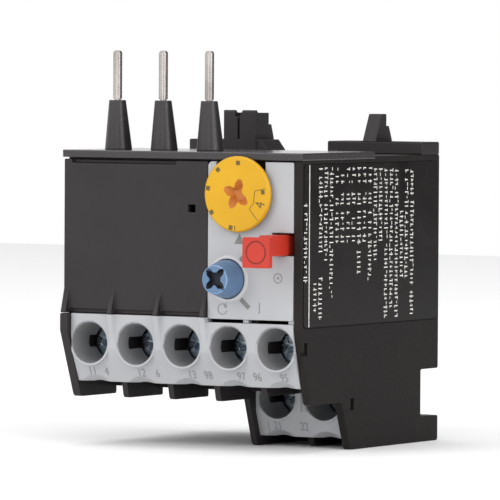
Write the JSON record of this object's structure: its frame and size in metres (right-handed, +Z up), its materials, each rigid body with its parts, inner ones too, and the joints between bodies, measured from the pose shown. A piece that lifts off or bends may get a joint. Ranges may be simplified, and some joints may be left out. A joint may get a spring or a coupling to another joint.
{
  "type": "thermal overload relay",
  "caption": "Thermal overload relay with phase pins in tapered sleeves on its flat cap, hooks, round current dial, turnable reset knob, stop button and funnel-shaped screw terminals.",
  "frame": {"origin": "axis of the middle phase pin, where the bare pin leaves its sleeve", "axes": "+X to the right along the terminals, +Y from the front with the controls to the back, +Z up along the phase pins"},
  "size_m": [0.0454, 0.0513, 0.0647],
  "materials": {
    "black_moulding": "fine moulded grain, satin",
    "cap_moulding": "fine moulded grain, satin",
    "label_film": "gloss",
    "light_moulding": "fine moulded grain, satin",
    "yellow_moulding": "satin",
    "red_moulding": "satin",
    "blue_moulding": "satin",
    "inner_moulding": "satin",
    "tinned_copper": "bright tin",
    "zinc_plated_steel": "bright zinc",
    "spring_steel": "drawn wire",
    "bimetal": "rolled strip",
    "copper_alloy": "stamped strip",
    "heater_band": "wound band"
  },
  "bodies": {
    "case": {"housing": "black_moulding", "side_cover": "black_moulding", "side_label": "label_film", "front_cover": "black_moulding", "operator_panel": "light_moulding", "terminal_shroud_front": "light_moulding", "terminal_shroud_lower": "light_moulding", "top_cap": "cap_moulding", "hook_left": "black_moulding", "hook_right": "black_moulding", "inner_plate": "inner_moulding", "pivot_pins": "spring_steel", "nc_fixed_contacts": "copper_alloy", "no_fixed_contacts": "copper_alloy", "reset_spring": "spring_steel", "button_spring": "spring_steel", "terminal_screws_front": "zinc_plated_steel", "terminal_screws_lower": "zinc_plated_steel", "clamp_plates_front": "zinc_plated_steel", "clamp_plates_lower": "zinc_plated_steel", "auxiliary_terminals": "tinned_copper", "pin_sleeve_1": "black_moulding", "phase_pin_1": "tinned_copper", "phase_terminal_1": "tinned_copper", "pin_sleeve_2": "black_moulding", "phase_pin_2": "tinned_copper", "phase_terminal_2": "tinned_copper", "pin_sleeve_3": "black_moulding", "phase_pin_3": "tinned_copper", "phase_terminal_3": "tinned_copper"},
    "dial": {"current_dial": "yellow_moulding", "dial_cam": "inner_moulding"},
    "adjuster": {"adjusting_lever": "inner_moulding"},
    "plunger": {"reset_plunger": "inner_moulding"},
    "knob": {"reset_knob": "blue_moulding"},
    "button": {"stop_button": "red_moulding"},
    "trip_bar": {"trip_slide": "inner_moulding", "differential_lever": "inner_moulding"},
    "differential_bar": {"differential_slide": "inner_moulding"},
    "trip_arm": {"trip_lever": "inner_moulding", "compensating_strip": "bimetal"},
    "contact_arm": {"contact_rocker": "inner_moulding", "moving_contact": "copper_alloy"},
    "strip_1": {"bimetal_1": "bimetal", "heater_winding_1": "heater_band"},
    "strip_2": {"bimetal_2": "bimetal", "heater_winding_2": "heater_band"},
    "strip_3": {"bimetal_3": "bimetal", "heater_winding_3": "heater_band"}
  },
  "joints": [
    {"name": "dial_turn", "type": "hinge", "parent": "case", "child": "dial", "pos_m": [0.0199, -0.00985, -0.015], "axis": [0, -1, 0], "range_deg": [0, 185]},
    {"name": "adjuster_turn", "type": "hinge", "parent": "case", "child": "adjuster", "pos_m": [0.026, 0.014, -0.0192], "axis": [0, 1, 0], "range_deg": [-9.44, 0]},
    {"name": "reset_press", "type": "slide", "parent": "case", "child": "plunger", "axis": [0, 1, 0], "range_m": [0, 0.002], "stiffness_N_per_m": 300, "springref_m": -0.003, "deforming": ["reset_spring"]},
    {"name": "reset_select", "type": "hinge", "parent": "plunger", "child": "knob", "pos_m": [0.0176, -0.0128, -0.0287], "axis": [0, -1, 0], "range_deg": [0, 90]},
    {"name": "stop_press", "type": "slide", "parent": "case", "child": "button", "axis": [0, 1, 0], "range_m": [0, 0.002], "stiffness_N_per_m": 300, "springref_m": -0.003, "deforming": ["button_spring"]},
    {"name": "trip_travel", "type": "slide", "parent": "case", "child": "trip_bar", "axis": [1, 0, 0], "range_m": [0, 0.0016], "stiffness_N_per_m": 50},
    {"name": "differential_travel", "type": "slide", "parent": "case", "child": "differential_bar", "axis": [1, 0, 0], "range_m": [0, 0.0016]},
    {"name": "trip_arm_turn", "type": "hinge", "parent": "case", "child": "trip_arm", "pos_m": [0.0212, 0.017, -0.0258], "axis": [0, 1, 0], "range_deg": [0, 11.51]},
    {"name": "contact_arm_turn", "type": "hinge", "parent": "case", "child": "contact_arm", "pos_m": [0.0262, 0.017, -0.0292], "axis": [0, 1, 0], "range_deg": [-11.51, 0]},
    {"name": "strip_bend_1", "type": "hinge", "parent": "case", "child": "strip_1", "pos_m": [-0.0088, 0.0175, -0.0358], "axis": [0, 1, 0], "range_deg": [0, 5.14]},
    {"name": "strip_bend_2", "type": "hinge", "parent": "case", "child": "strip_2", "pos_m": [0, 0.0175, -0.0358], "axis": [0, 1, 0], "range_deg": [0, 5.14]},
    {"name": "strip_bend_3", "type": "hinge", "parent": "case", "child": "strip_3", "pos_m": [0.0088, 0.0175, -0.0358], "axis": [0, 1, 0], "range_deg": [0, 5.14]}
  ],
  "couplings": [
    {"joint": "adjuster_turn", "follows": "dial_turn", "ratio": -0.050772},
    {"joint": "differential_travel", "follows": "trip_travel", "ratio": 1},
    {"joint": "trip_arm_turn", "follows": "trip_travel", "rad_per_m": 125},
    {"joint": "contact_arm_turn", "follows": "trip_travel", "rad_per_m": -125},
    {"joint": "strip_bend_1", "follows": "trip_travel", "rad_per_m": 55.556},
    {"joint": "strip_bend_2", "follows": "trip_travel", "rad_per_m": 55.556},
    {"joint": "strip_bend_3", "follows": "trip_travel", "rad_per_m": 55.556}
  ]
}
